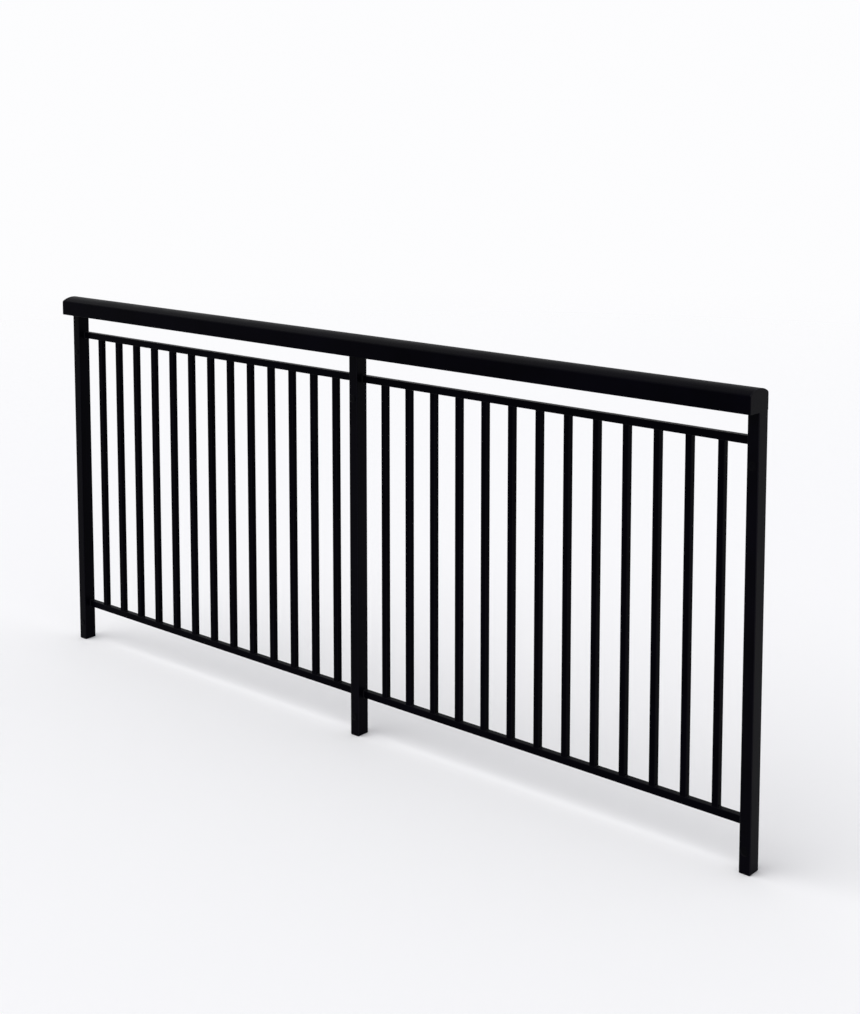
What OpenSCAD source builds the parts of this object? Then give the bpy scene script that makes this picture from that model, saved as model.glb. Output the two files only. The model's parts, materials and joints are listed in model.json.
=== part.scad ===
// Juliet balcony: a guard with no floor, bolted flat to a wall across a tall
// window or door. Two bays of square balusters hang between three box posts,
// under a deep closed handrail with a cambered top.
//
// Origin: on the back face of the middle post, on its centre line, level with
// the underside of the bottom rails. +X runs to the right as seen from outside,
// +Y runs into the wall, +Z is up. The wall's face is the plane Y = 0.

/* [Overall] */
// Clear width of a bay, from post to post
bay_w = 1380; // [600:10:1800]
// Height from the underside of the bottom rails to the crown of the handrail
guard_h = 1187; // [900:1:1400]
// Length of post below the underside of the bottom rails
foot_drop = 122; // [90:1:300]

/* [Posts] */
// Width of a post across its front
post_w = 34; // [30:1:60]
// Depth of a post out from the wall
post_d = 47; // [36:1:80]
// Wall thickness of a post
post_wall = 3; // [2:0.5:5]
// Outside corner radius of a post
post_r = 3; // [1:0.5:4]
// Thickness of the plate that closes the foot of a post
foot_plate_t = 3; // [2:0.5:6]
// Diameter of the drain hole in a foot plate
drain_d = 8; // [4:1:12]

/* [Rails] */
// Height of an upper or bottom rail
rail_h = 23; // [15:1:40]
// Depth of a rail, front to back
rail_d = 20; // [15:1:30]
// Wall thickness of a rail
rail_wall = 2; // [1.5:0.5:4]
// Outside corner radius of a rail
rail_r = 2; // [1:0.5:4]
// Open gap between an upper rail and the handrail
slot_h = 70; // [30:1:150]

/* [Balusters] */
// Number of balusters in a bay
baluster_count = 13; // [3:1:22]
// Side of a square baluster
bar_w = 20; // [12:1:26]
// Wall thickness of a baluster
bar_wall = 2; // [1:0.5:3]
// Outside corner radius of a baluster
bar_r = 2; // [1:0.5:4]
// Clearance between the wall and the deepest of the rails and balusters
wall_clearance = 2; // [0:0.5:10]

/* [Handrail] */
// Depth of the handrail out from the wall
handrail_d = 93; // [60:1:140]
// Height of the handrail at its crown
handrail_h = 64; // [45:1:100]
// Rise of the crown above the line of the two shoulders
crown_rise = 14; // [6:1:20]
// Radius that rounds each shoulder into the crown
shoulder_r = 8; // [4:0.5:12]
// Radius of the two lower edges
lower_r = 3; // [1:0.5:6]
// Wall thickness of the handrail
handrail_wall = 3; // [2:0.5:6]
// Thickness of the plate that closes each end of the handrail
end_plate_t = 3; // [2:0.5:6]

/* [Wall fixings] */
// Diameter of the bolt holes in the back wall of a post
bolt_hole_d = 11; // [6:0.5:14]
// Diameter of the access holes in the front wall of a post
access_hole_d = 22; // [16:1:24]
// Height of the lower fixing above the end of the foot
fixing_from_foot = 62; // [30:1:120]
// Spacing of the two fixings on a post
fixing_spacing = 1040; // [600:10:1200]

/* [Hidden] */
$fn = 64;
// Facets in a full turn of the crown, whose arc is far larger than the rest
crown_fn = 240;
frame_colour = [0.10, 0.10, 0.11];
bay_names = ["left", "right"];
post_names = ["left", "middle", "right"];

// Cuts run this far past the faces that they pierce
over = 1;
// Smallest radius that an inside corner of a section may take
inside_r_min = 0.5;

post_pitch = bay_w + post_w;
frame_l = 2 * bay_w + 3 * post_w;
post_top = guard_h - handrail_h;
foot_z = -foot_drop;
fixing_z = [foot_z + fixing_from_foot, foot_z + fixing_from_foot + fixing_spacing];

// The rails and balusters share one middle plane, just clear of the wall
infill_y = -wall_clearance - max(rail_d, bar_w) / 2;
upper_rail_z = post_top - slot_h - rail_h;
baluster_l = upper_rail_z - rail_h;
baluster_gap = (bay_w - baluster_count * bar_w) / (baluster_count + 1);
baluster_pitch = bar_w + baluster_gap;

// The crown is one arc through both shoulders
crown_r = (pow(handrail_d / 2, 2) + pow(crown_rise, 2)) / (2 * crown_rise);
crown_centre_h = handrail_h - crown_r;
// The shoulder arc touches the side and the crown
shoulder_x = handrail_d / 2 - shoulder_r;
shoulder_h = crown_centre_h + sqrt(pow(crown_r - shoulder_r, 2) - pow(shoulder_x, 2));

function bay_start_x(bay) = post_w / 2 + (bay - 1) * post_pitch;
function baluster_name(bay, n) = str("baluster_", bay_names[bay], "_", n < 10 ? "0" : "", n);

// Rectangle with round corners, centred on the origin
module rounded_rect(w, h, r) {
    square([w - 2 * r, h], center = true);
    square([w, h - 2 * r], center = true);
    for (x = [-1, 1], y = [-1, 1])
        translate([x * (w / 2 - r), y * (h / 2 - r)])
            circle(r);
}

// Rectangular tube in section, with wall t and outside corner radius r
module tube_section(w, h, t, r) {
    difference() {
        rounded_rect(w, h, r);
        rounded_rect(w - 2 * t, h - 2 * t, max(r - t, inside_r_min));
    }
}

// Turns a section drawn with depth along X and height along Y into a length along X
module along_x(x, l) {
    translate([x, 0, 0])
        rotate([90, 0, 90])
            linear_extrude(l)
                children();
}

// Sharp corner outside the arc that rounds a shoulder into the crown
module shoulder_waste(inset) {
    arc_r = max(shoulder_r - inset, inside_r_min);
    side_x = handrail_d / 2 + over;
    towards_crown = [shoulder_x, shoulder_h - crown_centre_h] / (crown_r - shoulder_r);
    crown_end = [shoulder_x, shoulder_h] + towards_crown * (shoulder_r + over);
    difference() {
        polygon([[shoulder_x, shoulder_h], [side_x, shoulder_h], [side_x, crown_end[1]], crown_end]);
        translate([shoulder_x, shoulder_h])
            circle(arc_r);
    }
}

// Outline of the handrail in section, drawn in from the outside by inset,
// with its underside on the X axis and its middle on the Y axis
module handrail_outline(inset) {
    edge_r = max(lower_r - inset, inside_r_min);
    difference() {
        intersection() {
            translate([0, handrail_h])
                rounded_rect(handrail_d - 2 * inset, 2 * (handrail_h - inset), edge_r);
            translate([0, crown_centre_h])
                circle(crown_r - inset, $fn = crown_fn);
        }
        shoulder_waste(inset);
        mirror([1, 0])
            shoulder_waste(inset);
    }
}

// Puts a piece of handrail section over the posts, its back in the wall's plane
module handrail_length(x, l) {
    translate([0, -handrail_d / 2, post_top])
        along_x(x, l)
            children();
}

// Closed section that runs over all three posts
module handrail() {
    color(frame_colour)
        handrail_length(-frame_l / 2 + end_plate_t, frame_l - 2 * end_plate_t)
            difference() {
                handrail_outline(0);
                handrail_outline(handrail_wall);
            }
}

// Plate that closes one end of the handrail, side -1 on the left and 1 on the right
module handrail_end(side) {
    color(frame_colour)
        handrail_length(side < 0 ? -frame_l / 2 : frame_l / 2 - end_plate_t, end_plate_t)
            handrail_outline(0);
}

// Box post number i from -1 to 1, with its two wall fixings: the bolt goes in
// through the access hole at the front and bears on the back wall
module post(i) {
    color(frame_colour)
        translate([i * post_pitch, 0, 0])
            difference() {
                translate([0, -post_d / 2, foot_z + foot_plate_t])
                    linear_extrude(post_top - foot_z - foot_plate_t)
                        tube_section(post_w, post_d, post_wall, post_r);
                for (z = fixing_z) {
                    translate([0, over, z])
                        rotate([90, 0, 0])
                            cylinder(d = bolt_hole_d, h = post_wall + 2 * over);
                    translate([0, -post_d + post_wall + over, z])
                        rotate([90, 0, 0])
                            cylinder(d = access_hole_d, h = post_wall + 2 * over);
                }
            }
}

// Plate that closes the foot of post number i, with a drain hole
module post_foot(i) {
    color(frame_colour)
        translate([i * post_pitch, -post_d / 2, foot_z])
            linear_extrude(foot_plate_t)
                difference() {
                    rounded_rect(post_w, post_d, post_r);
                    circle(d = drain_d);
                }
}

// Rail of one bay, cut to fit between the posts, with its underside at height z
module rail(bay, z) {
    color(frame_colour)
        translate([0, infill_y, z + rail_h / 2])
            along_x(bay_start_x(bay), bay_w)
                tube_section(rail_d, rail_h, rail_wall, rail_r);
}

// Baluster n of one bay, counted from the left, cut to fit between the rails
module baluster(bay, n) {
    color(frame_colour)
        translate([bay_start_x(bay) + n * baluster_pitch - bar_w / 2, infill_y, rail_h])
            linear_extrude(baluster_l)
                tube_section(bar_w, bar_w, bar_wall, bar_r);
}

handrail();
handrail_end(-1);  // handrail_end_left
handrail_end(1);  // handrail_end_right

for (i = [0:2]) {
    post(i - 1);
    post_foot(i - 1);
}

for (bay = [0:1]) {
    rail(bay, upper_rail_z);
    rail(bay, 0);
    for (n = [1:baluster_count])
        baluster(bay, n);
}
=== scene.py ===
import json
import math
import random

import bmesh
import bpy
from mathutils import Matrix, Vector


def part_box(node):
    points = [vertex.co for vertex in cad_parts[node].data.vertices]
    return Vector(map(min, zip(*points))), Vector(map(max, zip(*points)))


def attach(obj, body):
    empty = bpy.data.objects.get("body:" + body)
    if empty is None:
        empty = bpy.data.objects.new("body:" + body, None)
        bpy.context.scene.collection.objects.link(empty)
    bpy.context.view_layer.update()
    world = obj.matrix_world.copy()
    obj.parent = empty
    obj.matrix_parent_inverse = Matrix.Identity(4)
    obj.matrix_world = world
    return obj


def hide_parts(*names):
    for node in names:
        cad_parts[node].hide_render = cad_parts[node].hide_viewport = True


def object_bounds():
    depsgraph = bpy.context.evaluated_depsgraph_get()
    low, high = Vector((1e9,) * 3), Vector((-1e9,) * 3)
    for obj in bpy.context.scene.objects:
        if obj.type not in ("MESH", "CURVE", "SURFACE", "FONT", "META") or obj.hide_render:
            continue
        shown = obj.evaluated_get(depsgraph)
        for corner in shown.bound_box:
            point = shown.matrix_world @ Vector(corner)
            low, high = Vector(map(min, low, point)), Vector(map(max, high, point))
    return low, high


# A juliet balcony in two bays: a guard with no floor, bolted flat to a wall across a tall
# opening. It is one welded steel frame under a black coat, and the sections below follow it as
# a shop puts it together. X runs to the right as seen from outside, Y into the wall and Z up.
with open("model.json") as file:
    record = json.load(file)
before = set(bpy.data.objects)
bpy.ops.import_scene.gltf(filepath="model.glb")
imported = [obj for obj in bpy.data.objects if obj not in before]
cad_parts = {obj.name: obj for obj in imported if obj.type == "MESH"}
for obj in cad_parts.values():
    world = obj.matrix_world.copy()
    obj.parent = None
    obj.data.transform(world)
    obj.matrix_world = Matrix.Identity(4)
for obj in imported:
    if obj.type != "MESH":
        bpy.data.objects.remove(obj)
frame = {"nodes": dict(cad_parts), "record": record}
frame_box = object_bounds()
nodes = frame["nodes"]


# ---- Posts -------------------------------------------------------------------------------
# Three box-section posts of steel tube, bolted to the wall and run down past the bottom rails.
# Once it is welded, the whole frame is blasted and given a black satin powder coat, baked on: it
# lies a little pebbled, thins round the corners of the tubes, where a lighter colour also stands
# in as a painted highlight, and takes dust on its tops.

post_names = ["left", "middle", "right"]


def add(tree, kind, inputs=None, **settings):
    """Adds a shader node, with its settings, and with its inputs set or fed by other sockets."""
    node = tree.nodes.new("ShaderNode" + kind)
    for name, value in settings.items():
        setattr(node, name, value)
    for name, value in (inputs or {}).items():
        if isinstance(value, bpy.types.NodeSocket):
            tree.links.new(value, node.inputs[name])
        else:
            node.inputs[name].default_value = value
    return node


def maths(tree, operation, first, second=0.0):
    """The result of one sum on two values or sockets."""
    return add(tree, "Math", {0: first, 1: second}, operation=operation).outputs[0]


def span(tree, value, low, high, to_low=0.0, to_high=1.0):
    """A value spread from one range to another, held at its ends."""
    limits = {"From Min": low, "From Max": high, "To Min": to_low, "To Max": to_high}
    return add(tree, "MapRange", {"Value": value, **limits}).outputs["Result"]


def mixed(tree, share, low, high):
    """Two colours mixed, from all of the first at a share of 0 to all of the second at 1."""
    # A Mix node has sockets of the same name for values and colours, so these go by number
    factor, first, second, result = 0, 6, 7, 2
    inputs = {factor: share, first: low, second: high}
    return add(tree, "Mix", inputs, data_type="RGBA").outputs[result]


def facing(tree):
    """Which way the surface faces, as its parts along X, Y and Z."""
    normal = add(tree, "NewGeometry").outputs["Normal"]
    return add(tree, "SeparateXYZ", {"Vector": normal}).outputs


def noise(tree, scale, detail, roughness, per_axis=(1.0, 1.0, 1.0)):
    """Noise all through a piece. A share under 1 for an axis draws it out along that axis."""
    at = add(tree, "TexCoord").outputs["Object"]
    at = add(tree, "Mapping", {"Vector": at, "Scale": per_axis}).outputs["Vector"]
    inputs = {"Vector": at, "Scale": scale, "Detail": detail, "Roughness": roughness}
    return add(tree, "TexNoise", inputs).outputs["Fac"]


def new_group(name, inputs, outputs):
    """An empty node group, as its tree, the sockets it is given and the sockets it puts out."""
    tree = bpy.data.node_groups.new(name, "ShaderNodeTree")
    for label, value in inputs.items():
        socket = tree.interface.new_socket(label, in_out="INPUT", socket_type="NodeSocketFloat")
        socket.default_value = value
    for label in outputs:
        tree.interface.new_socket(label, in_out="OUTPUT", socket_type="NodeSocketFloat")
    given = tree.nodes.new("NodeGroupInput").outputs
    return tree, given, tree.nodes.new("NodeGroupOutput").inputs


def place(tree, group, **inputs):
    """Places a node group in a tree and gives its outputs. Underscores stand for spaces."""
    node = tree.nodes.new("ShaderNodeGroup")
    node.node_tree = group
    for name, value in inputs.items():
        node.inputs[name.replace("_", " ")].default_value = value
    return node.outputs


# The pebbled skin of a baked powder, and the clouds of more and less gloss that lie over it.
# A cloud's noise keeps near the middle of its range, so it is spread out from there.
skin_scales = {"Pebble Scale": 650.0, "Cloud Scale": 7.0}
cloud_low, cloud_high = 0.33, 0.67
skin, given, put = new_group("powder_skin", skin_scales, ["Pebble", "Cloud"])
skin.links.new(noise(skin, given["Pebble Scale"], detail=2.0, roughness=0.45), put["Pebble"])
clouds = noise(skin, given["Cloud Scale"], detail=6.0, roughness=0.62)
skin.links.new(span(skin, clouds, cloud_low, cloud_high), put["Cloud"])

# Round the corners of a tube, where its surface faces none of the three main ways, the powder
# thins, and this mask also lays a painted highlight along the edges. A surface counts as flat down
# to the first of these, and as corner from the second.
squarely, askew = 0.97, 0.78
thinned_highlit_corners, given, put = new_group("thin_corners", {"Amount": 1.0}, ["Mask"])
squarest = 0.0
for way in facing(thinned_highlit_corners):
    squarest = maths(thinned_highlit_corners, "MAXIMUM", squarest, maths(thinned_highlit_corners, "ABSOLUTE", way))
turned = span(thinned_highlit_corners, squarest, squarely, askew)
thinned_highlit_corners.links.new(maths(thinned_highlit_corners, "MULTIPLY", turned, given["Amount"]), put["Mask"])

# Dust settles in patches on what faces up, and between the patches a little of it still lies.
# A slope holds more of it the nearer it is to level.
sheds_dust, holds_dust = 0.55, 0.98
patch_low, patch_high, between_patches = 0.30, 0.72, 0.25
dust, given, put = new_group("settled_dust", {"Amount": 0.1, "Patch Scale": 30.0}, ["Mask"])
patches = noise(dust, given["Patch Scale"], detail=5.0, roughness=0.7)
patches = span(dust, patches, patch_low, patch_high, to_low=between_patches)
settled = maths(dust, "MULTIPLY", span(dust, facing(dust)["Z"], sheds_dust, holds_dust), patches)
dust.links.new(maths(dust, "MULTIPLY", settled, given["Amount"]), put["Mask"])

# Rain leaves faint runs, drawn out up and down, on what stands upright
leans, stands = 0.5, 0.1
run_low, run_high = 0.50, 0.68
drawn_out = (1.0, 1.0, 0.03)
rain, given, put = new_group("rain_runs", {"Amount": 0.5, "Run Scale": 90.0}, ["Mask"])
upright = span(rain, maths(rain, "ABSOLUTE", facing(rain)["Z"]), leans, stands)
runs = noise(rain, given["Run Scale"], detail=3.0, roughness=0.6, per_axis=drawn_out)
runs = maths(rain, "MULTIPLY", span(rain, runs, run_low, run_high), upright)
rain.links.new(maths(rain, "MULTIPLY", runs, given["Amount"]), put["Mask"])

coat_black = (0.0005, 0.0004, 0.0013, 1.0)
coat_hazed = (0.0010, 0.0008, 0.0024, 1.0)
# The lighter corner colour is partly thinned powder and partly a painted highlight on the edges
coat_thinned_highlight = (0.0120, 0.0112, 0.0155, 1.0)
dust_grey = (0.30, 0.30, 0.32, 1.0)
rain_roughens = 0.12
thin_smooths = 0.08
dust_roughens = 1.5


def powder_coat(name, gloss, roughness=(0.28, 0.36), pebble=0.00004,
                corners=0.6, dusty=0.01, rained=0.35):
    """The black coat, as it lies on one kind of piece. Thin sections bake hotter and come out
    duller than thick ones."""
    made = bpy.data.materials.new(name)
    made.use_nodes = True
    tree = made.node_tree
    shader = tree.nodes["Principled BSDF"]
    shader.inputs["Specular IOR Level"].default_value = gloss
    lies = place(tree, skin)
    edge = place(tree, thinned_highlit_corners, Amount=corners)["Mask"]
    top = place(tree, dust, Amount=dusty)["Mask"]
    wet = place(tree, rain, Amount=rained)["Mask"]

    colour = mixed(tree, lies["Cloud"], coat_black, coat_hazed)
    # The rounded corners go lighter: partly thinner powder, partly a painted highlight on the
    # edges
    colour = mixed(tree, edge, colour, coat_thinned_highlight)
    colour = mixed(tree, top, colour, dust_grey)
    tree.links.new(colour, shader.inputs["Base Color"])
    rough = span(tree, lies["Cloud"], 0.0, 1.0, *roughness)
    rough = maths(tree, "ADD", rough, maths(tree, "MULTIPLY", wet, rain_roughens))
    rough = maths(tree, "SUBTRACT", rough, maths(tree, "MULTIPLY", edge, thin_smooths))
    rough = maths(tree, "ADD", rough, maths(tree, "MULTIPLY", top, dust_roughens))
    tree.links.new(rough, shader.inputs["Roughness"])
    bumps = add(tree, "Bump", {"Strength": 0.6, "Distance": pebble, "Height": lies["Pebble"]})
    tree.links.new(bumps.outputs["Normal"], shader.inputs["Normal"])
    return made


def finish_nodes(names, material):
    """Gives these pieces of the frame their coat."""
    for name in names:
        nodes[name].material_slots[0].material = material


finish_nodes(["post_" + name for name in post_names], powder_coat("post_coat", gloss=0.022))


# ---- Foot plates -------------------------------------------------------------------------
# A 3 mm steel plate closes the foot of each post, welded on and ground flush with the tube. A
# file has taken the sharpness off its lower rim, and a drilled hole lets the post drain.

foot_ease = 0.0008
ease_steps = 3
faces_out = 0.99
flat_within = math.radians(0.3)
smooth_up_to = math.radians(50)
merged_within = 1e-6
all_by_area = 100


def new_piece(name, shape, material):
    """Turns a finished shape into a piece of the balcony, where it was built."""
    mesh = bpy.data.meshes.new(name)
    shape.to_mesh(mesh)
    shape.free()
    mesh.materials.append(material)
    mesh.shade_smooth()
    mesh.set_sharp_from_angle(angle=smooth_up_to)
    piece = bpy.data.objects.new(name, mesh)
    bpy.context.scene.collection.objects.link(piece)
    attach(piece, "root")
    return piece


def ease_plate(node, name, out, stays_sharp, ease, material):
    """Puts a copy of a plate in its place, with the rim of the side that faces out rounded over,
    but for the stretches that stay sharp."""
    plate = bmesh.new()
    plate.from_mesh(nodes[node].data)
    bmesh.ops.remove_doubles(plate, verts=plate.verts, dist=merged_within)
    bmesh.ops.dissolve_limit(plate, angle_limit=flat_within, verts=plate.verts, edges=plate.edges)
    rim = []
    for edge in plate.edges:
        on_side = [face.normal.dot(out) > faces_out for face in edge.link_faces]
        middle = (edge.verts[0].co + edge.verts[1].co) / 2
        if any(on_side) and not all(on_side) and not stays_sharp(middle):
            rim.append(edge)
    bmesh.ops.bevel(plate, geom=rim, offset=ease, offset_type="OFFSET", affect="EDGES",
                    segments=ease_steps, profile=0.5, material=-1)
    piece = new_piece(name, plate, material)
    even = piece.modifiers.new("even_faces", "WEIGHTED_NORMAL")
    even.weight = all_by_area
    even.keep_sharp = True
    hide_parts(node)


down = Vector((0, 0, -1))
foot_coat = powder_coat("foot_coat", gloss=0.022)
for name in post_names:
    foot_low, foot_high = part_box("post_foot_" + name)
    middle = (foot_low + foot_high) / 2
    drain_reach = (foot_high.y - foot_low.y) / 4
    ease_plate("post_foot_" + name, "foot_plate_" + name, down,
               lambda at: (at - middle).xy.length < drain_reach, foot_ease, foot_coat)


# ---- Rails -------------------------------------------------------------------------------
# Two rails of small steel box section to a bay, cut to fit between the posts, set back from
# their fronts and welded to them. The rails' flat tops catch dust, the bottom ones most.

bays = ["left", "right"]
upper_rail_coat = powder_coat("upper_rail_coat", gloss=0.012)
bottom_rail_coat = powder_coat("bottom_rail_coat", gloss=0.012, dusty=0.012)
finish_nodes(["upper_rail_" + bay for bay in bays], upper_rail_coat)
finish_nodes(["bottom_rail_" + bay for bay in bays], bottom_rail_coat)

# Each end is welded to the post over its top, front and underside, and left as it was laid:
# a row of small ripples, each bowed the way that the torch went. The hand holds no weld quite
# even, so its size sways slowly along it.
rail_weld = 0.003
rail_corner_r = 0.002
ripple_pitch = 0.0022
ripple_rings = 4
ripple_middle = 0.6
sway = 0.4
sway_rings = 9
weld_sides = 6
weld_root = 0.0003
blunt_end = 0.3
hand = random.Random(7)
quarter = math.pi / 2


def seam(start, heading, out, legs, step=ripple_pitch / ripple_rings):
    """Stops along a joint, each a place, the way along it and the way out. A leg of the joint is
    a length and the angle that it turns through."""
    point, heading, out = Vector(start), Vector(heading), Vector(out)
    axis = out.cross(heading)
    stops = [(point, heading, out)]
    for length, angle in legs:
        count = max(2, round(length / step))
        turn = Matrix.Rotation(angle / count, 3, axis)
        half_turn = Matrix.Rotation(angle / count / 2, 3, axis)
        for _ in range(count):
            point = point + half_turn @ heading * (length / count)
            heading = turn @ heading
            out = turn @ out
            stops.append((point, heading, out))
    return stops


def lay_weld(shape, stops, up, leg, fullness=0.3, ripple=0.12, bow=0.35):
    """Sweeps a weld along a joint, between the way out and the way up, one leg wide on each.
    Its face is flat at a fullness of 0 and fills the square at 1, and its ends are rounded off."""
    up = Vector(up)
    swell = hand.uniform(0, math.tau)
    step = (stops[1][0] - stops[0][0]).length
    weld = bmesh.new()
    face = None
    for n, (point, heading, out) in enumerate(stops):
        from_end = min(1, (min(n, len(stops) - 1 - n) + blunt_end) * step / leg)
        rounded_end = math.sqrt(1 - (1 - from_end) ** 2)
        wave = abs(math.sin(n / ripple_rings * math.pi)) - ripple_middle
        size = leg * rounded_end * (1 + ripple * (wave + sway * math.sin(n / sway_rings + swell)))
        corners = [point - (out + up) * weld_root]
        for side in range(weld_sides + 1):
            angle = side / weld_sides * quarter
            across, along = math.cos(angle), math.sin(angle)
            reach = (1 - fullness) / (across + along) + fullness / max(across, along)
            ahead = heading * bow * ripple_pitch * math.sin(2 * angle) * rounded_end
            corners.append(point + (out * across + up * along) * reach * size + ahead)
        if face is None:
            face = weld.faces.new([weld.verts.new(corner) for corner in corners])
            continue
        grown = bmesh.ops.extrude_face_region(weld, geom=[face, *face.edges])["geom"]
        face = next(item for item in grown if isinstance(item, bmesh.types.BMFace))
        for vert, corner in zip(face.verts, corners):
            vert.co = corner
    laid = bpy.data.meshes.new("laid_weld")
    weld.to_mesh(laid)
    weld.free()
    shape.from_mesh(laid)
    bpy.data.meshes.remove(laid)


def add_welds(name, shape, material):
    """Turns a run of welds into a piece, with its faces outwards."""
    bmesh.ops.recalc_face_normals(shape, faces=shape.faces)
    new_piece(name, shape, material)


weld_coat = powder_coat("weld_coat", gloss=0.05, corners=0.0, rained=0.0)
for bay in bays:
    welds = bmesh.new()
    for level in ("upper_rail_", "bottom_rail_"):
        rail_low, rail_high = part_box(level + bay)
        depth = rail_high.y - rail_low.y - 2 * rail_corner_r
        height = rail_high.z - rail_low.z - 2 * rail_corner_r
        corner = (rail_corner_r * quarter, quarter)
        legs = [(depth, 0), corner, (height, 0), corner, (depth, 0)]
        for x, along in ((rail_low.x, 1), (rail_high.x, -1)):
            start = (x, rail_high.y - rail_corner_r, rail_high.z)
            lay_weld(welds, seam(start, (0, -1, 0), (0, 0, 1), legs), (along, 0, 0), rail_weld)
    add_welds("rail_welds_" + bay, welds, weld_coat)


# ---- Balusters ---------------------------------------------------------------------------
# Square bars of small steel tube at an even spacing, cut to fit between the upper and the
# bottom rail of each bay and welded to both.

baluster_names = [name for name in sorted(nodes) if name.startswith("baluster_")]
finish_nodes(baluster_names, powder_coat("baluster_coat", gloss=0.009))

# A short weld runs front to back up each side of both ends. At the front and back, where a
# bar meets the rounded edge of a rail, the weld is ground flush with the two.
bar_weld = 0.0026
bar_corner_r = 0.002
ground_under = 0.00005
flush_steps = 12


def fill_flush(shape, centre, length, out, up, edge_r):
    """Fills the notch that a rounded edge leaves over a flush face, and grinds it level. The
    notch runs along X, and its centre is on the axis of the rounding."""
    start = Vector(centre) - Vector((length / 2, 0, 0))
    stops = seam(start, (1, 0, 0), out, [(length, 0)], step=length / flush_steps)
    lay_weld(shape, stops, up, edge_r - ground_under, fullness=1.0, ripple=0.0, bow=0.0)


for bay in bays:
    welds = bmesh.new()
    for name in baluster_names:
        if not name.startswith("baluster_" + bay):
            continue
        bar_low, bar_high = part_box(name)
        middle = (bar_low + bar_high) / 2
        run = bar_high.y - bar_low.y - 2 * bar_corner_r
        ground_run = run + bar_corner_r
        for z, up in ((bar_low.z, 1), (bar_high.z, -1)):
            for x, out in ((bar_low.x, -1), (bar_high.x, 1)):
                start = (x, bar_low.y + bar_corner_r, z)
                stops = seam(start, (0, 1, 0), (out, 0, 0), [(run, 0)])
                lay_weld(welds, stops, (0, 0, up), bar_weld)
            for y, out in ((bar_low.y, -1), (bar_high.y, 1)):
                notch = (middle.x, y - out * rail_corner_r, z - up * rail_corner_r)
                fill_flush(welds, notch, ground_run, (0, out, 0), (0, 0, up), rail_corner_r)
    add_welds("baluster_welds_" + bay, welds, weld_coat)


# ---- Handrail ----------------------------------------------------------------------------
# A deep closed section, folded from steel plate to a cambered top and run over all three posts.
# Hands and weather have left it a little duller and rougher than the posts.

handrail_coat = powder_coat("handrail_coat", gloss=0.012, roughness=(0.34, 0.42),
                            corners=0.0, dusty=0.004)
finish_nodes(["handrail"], handrail_coat)

# A plate closes each end, welded on and ground until it runs on from the post below it. A
# file has rounded its rim, but for the stretch that the post's own face carries on.
end_ease = 0.0010
carried_on = 0.0001
end_coat = powder_coat("end_coat", gloss=0.022, dusty=0.004)
for name, out in (("left", Vector((-1, 0, 0))), ("right", Vector((1, 0, 0)))):
    over_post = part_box("handrail_end_" + name)[0].z + carried_on
    ease_plate("handrail_end_" + name, "end_plate_" + name, out,
               lambda at: at.z < over_post, end_ease, end_coat)

# Each post is welded to the handrail's underside, round every side that isn't ground flush. At
# the back the ground weld fills the notch under the handrail's rounded edge.
post_weld = 0.004
post_corner_r = 0.003
handrail_edge_r = 0.003
for name in post_names:
    post_low, post_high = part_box("post_" + name)
    corner = (post_corner_r * quarter, quarter)
    side_run = (post_high.y - post_low.y - 2 * post_corner_r, 0)
    front_run = (post_high.x - post_low.x - 2 * post_corner_r, 0)
    ground_run = front_run[0] + post_corner_r
    start = (post_low.x, post_high.y - post_corner_r, post_high.z)
    heading, out = (0, -1, 0), (-1, 0, 0)
    legs = [side_run, corner, front_run, corner, side_run]
    if name == "left":
        start = (post_low.x + post_corner_r, post_low.y, post_high.z)
        heading, out = (1, 0, 0), (0, -1, 0)
        legs = [front_run, corner, side_run]
    if name == "right":
        legs = [side_run, corner, front_run]
    welds = bmesh.new()
    lay_weld(welds, seam(start, heading, out, legs), (0, 0, -1), post_weld)
    middle_x = (post_low.x + post_high.x) / 2
    notch = (middle_x, post_high.y - handrail_edge_r, post_high.z + handrail_edge_r)
    fill_flush(welds, notch, ground_run, (0, 1, 0), (0, 0, -1), handrail_edge_r)
    add_welds("post_welds_" + name, welds, weld_coat)


# ---- Plugs -------------------------------------------------------------------------------
# A black polyethylene plug snaps into each access hole once its wall bolt is tight. It is
# moulded with a low head, dished in the middle, and a skirt whose bead grips behind the wall.

post_wall = 0.003
hole_r = 0.011
head_r = 0.01275
head_crown = 0.0019
crest_r = 0.0075
dish = 0.0006
rim_r = 0.0006
snap_gap = 0.0001
skirt_r = hole_r - snap_gap
skirt_wall = 0.0014
skirt_length = 0.0065
bead = 0.0004
head_steps = 6
rim_steps = 4
plug_turns = 64

plug_fresh = (0.0005, 0.0005, 0.0012, 1.0)
plug_handled = (0.0013, 0.0012, 0.0024, 1.0)
plug_roughness = (0.30, 0.40)
plug_plastic = bpy.data.materials.new("plug_plastic")
plug_plastic.use_nodes = True
moulding = plug_plastic.node_tree
plug_shader = moulding.nodes["Principled BSDF"]
plug_shader.inputs["Specular IOR Level"].default_value = 0.025
grain = place(moulding, skin, Pebble_Scale=1600.0, Cloud_Scale=60.0)
top = place(moulding, dust, Amount=0.02)["Mask"]
plug_colour = mixed(moulding, grain["Cloud"], plug_fresh, plug_handled)
plug_colour = mixed(moulding, top, plug_colour, dust_grey)
moulding.links.new(plug_colour, plug_shader.inputs["Base Color"])
plug_rough = span(moulding, grain["Cloud"], 0.0, 1.0, *plug_roughness)
plug_rough = maths(moulding, "ADD", plug_rough, top)
moulding.links.new(plug_rough, plug_shader.inputs["Roughness"])
bumps = add(moulding, "Bump", {"Strength": 0.5, "Distance": 0.00002, "Height": grain["Pebble"]})
moulding.links.new(bumps.outputs["Normal"], plug_shader.inputs["Normal"])


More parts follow.
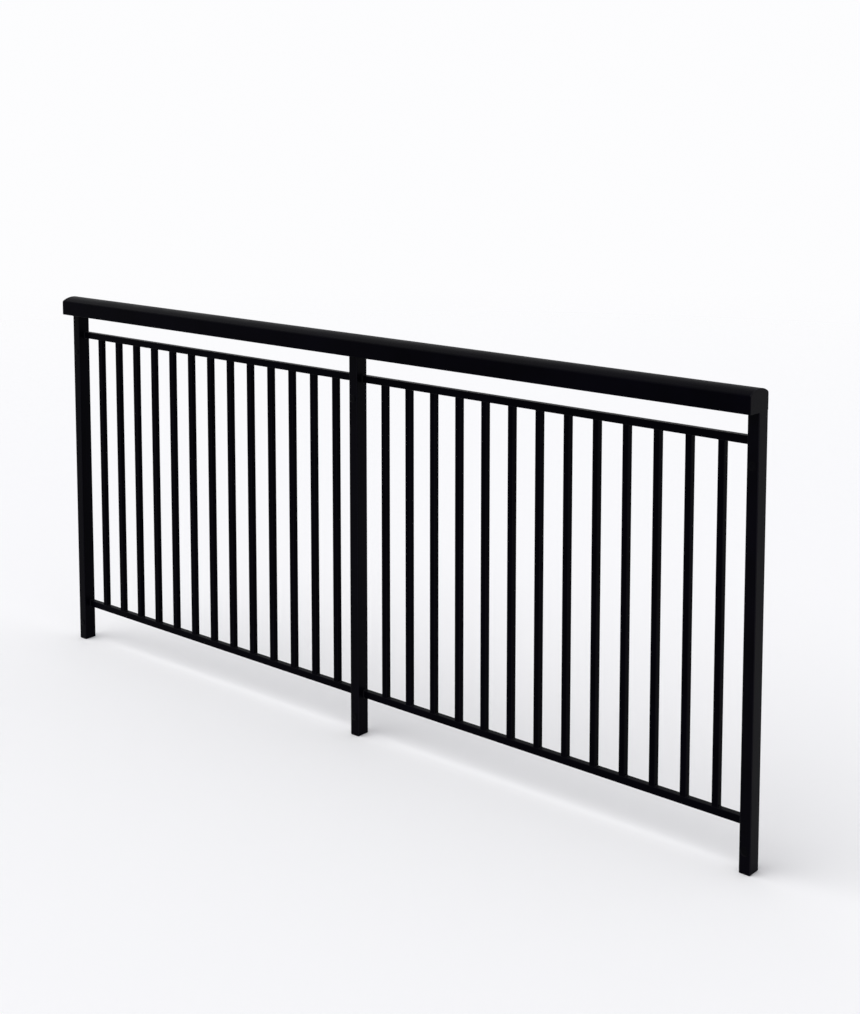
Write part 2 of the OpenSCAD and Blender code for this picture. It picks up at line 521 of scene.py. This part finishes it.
def plug_profile():
    """Half of the plug in section, from the dish to the inside, each point a radius and a height
    over the post's front."""
    points = []
    for n in range(head_steps + 1):
        share = n / head_steps
        points.append((crest_r * share, head_crown - dish * (1 + math.cos(math.pi * share)) / 2))
    for n in range(1, head_steps + 1):
        share = n / head_steps
        fall = (head_crown - rim_r) * math.cos(quarter * share)
        points.append((crest_r + (head_r - rim_r - crest_r) * share, rim_r + fall))
    for n in range(1, rim_steps + 1):
        angle = n / rim_steps * quarter
        points.append((head_r - rim_r + rim_r * math.sin(angle), rim_r * math.cos(angle)))
    points += [(skirt_r, 0.0), (skirt_r, -post_wall), (skirt_r + bead, -post_wall - bead)]
    points += [(skirt_r + bead, -post_wall - 2 * bead), (skirt_r - bead, -skirt_length)]
    inside_r = skirt_r - skirt_wall
    points += [(inside_r, -skirt_length), (inside_r, -skirt_wall), (0.0, -skirt_wall)]
    return points


millimetre = 0.001
post_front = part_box("post_middle")[0].y
for mount in frame["record"]["mounts"]:
    if mount["kind"] != "bolt_pattern":
        continue
    x, _, z = mount["pos_m"]
    half_spacing = mount["dims"]["spacing_y_mm"] / 2 * millimetre
    for level, lift in (("lower", -half_spacing), ("upper", half_spacing)):
        plug = bmesh.new()
        chain = [plug.verts.new((r, 0, h)) for r, h in plug_profile()]
        edges = [plug.edges.new(pair) for pair in zip(chain, chain[1:])]
        bmesh.ops.spin(plug, geom=chain + edges, cent=(0, 0, 0), axis=(0, 0, 1), dvec=(0, 0, 0),
                       angle=math.tau, steps=plug_turns, use_merge=True)
        bmesh.ops.remove_doubles(plug, verts=plug.verts, dist=merged_within)
        bmesh.ops.recalc_face_normals(plug, faces=plug.faces)
        to_front = Matrix.Translation((x, post_front, z + lift)) @ Matrix.Rotation(quarter, 4, "X")
        bmesh.ops.transform(plug, matrix=to_front, verts=plug.verts)
        name = "plug_" + mount["name"].replace("wall_bolts_", "") + "_" + level
        new_piece(name, plug, plug_plastic)


# ---- Studio ------------------------------------------------------------------------------
# A plain pale floor that fades into a white surround, under a broad soft lamp from above,
# a little to the front and the left.

floor_drop = 0.001
floor_radius = 14.0
floor_sides = 128
fade_from, fade_to = 4.0, 12.0
floor_colour = (0.93, 0.93, 0.935, 1.0)
surround_colour = (0.98, 0.98, 0.99, 1.0)
fill_colour = (0.97, 0.97, 1.0, 1.0)
fill_strength = 0.68

floor_mesh = bpy.data.meshes.new("studio_floor")
disc = bmesh.new()
bmesh.ops.create_circle(disc, cap_ends=True, segments=floor_sides, radius=floor_radius,
                        matrix=Matrix.Translation((0, 0, frame_box[0].z - floor_drop)))
disc.to_mesh(floor_mesh)
disc.free()
floor = bpy.data.objects.new("studio_floor", floor_mesh)
bpy.context.scene.collection.objects.link(floor)
floor_paint = bpy.data.materials.new("floor_paint")
floor_paint.use_nodes = True
paint = floor_paint.node_tree
floor_shader = paint.nodes["Principled BSDF"]
floor_shader.inputs["Base Color"].default_value = floor_colour
floor_shader.inputs["Roughness"].default_value = 0.9
floor_shader.inputs["Specular IOR Level"].default_value = 0.1
at = add(paint, "TexCoord").outputs["Object"]
from_middle = add(paint, "VectorMath", {0: at}, operation="LENGTH").outputs["Value"]
solid = span(paint, from_middle, fade_from, fade_to, 1.0, 0.0)
paint.links.new(solid, floor_shader.inputs["Alpha"])
floor_mesh.materials.append(floor_paint)

# The eye and reflections see a white surround, and a weaker one lights the guard
world = bpy.data.worlds.new("studio")
world.use_nodes = True
room = world.node_tree
room.nodes.clear()
seen = add(room, "LightPath").outputs
shown = maths(room, "MAXIMUM", seen["Is Camera Ray"], seen["Is Glossy Ray"])
shown = maths(room, "MAXIMUM", shown, seen["Is Transmission Ray"])
surround = add(room, "Background", {"Color": surround_colour, "Strength": 1.0})
fill = add(room, "Background", {"Color": fill_colour, "Strength": fill_strength})
both = add(room, "MixShader", {0: shown, 1: fill.outputs[0], 2: surround.outputs[0]})
room.links.new(both.outputs[0], add(room, "OutputWorld").inputs["Surface"])
bpy.context.scene.world = world

lamp = bpy.data.lights.new("lamp", "SUN")
lamp.energy = 1.4
lamp.angle = math.radians(60)
lamp_holder = bpy.data.objects.new("lamp", lamp)
lamp_from = Vector((-0.35, -0.45, 0.82))
lamp_holder.rotation_euler = lamp_from.to_track_quat("Z", "Y").to_euler()
bpy.context.scene.collection.objects.link(lamp_holder)


# ---- Camera ------------------------------------------------------------------------------
# A long view from the front and the right, a little above the handrail. Its frame is shifted
# down, as on a view camera, so that the posts stay almost upright.

eye = Vector((3.3847, -3.6430, 1.9374))
turned_left = math.radians(40.440)
tipped_down = math.radians(5.7502)
lens = bpy.data.cameras.new("camera")
lens.sensor_width = 36.0
lens.lens = 56.242
lens.shift_y = -0.25
lens.clip_end = 200.0
camera = bpy.data.objects.new("camera", lens)
camera.location = eye
camera.rotation_euler = (math.radians(90) - tipped_down, 0.0, turned_left)
bpy.context.scene.collection.objects.link(camera)
bpy.context.scene.camera = camera

bpy.context.scene.view_settings.view_transform = "Standard"
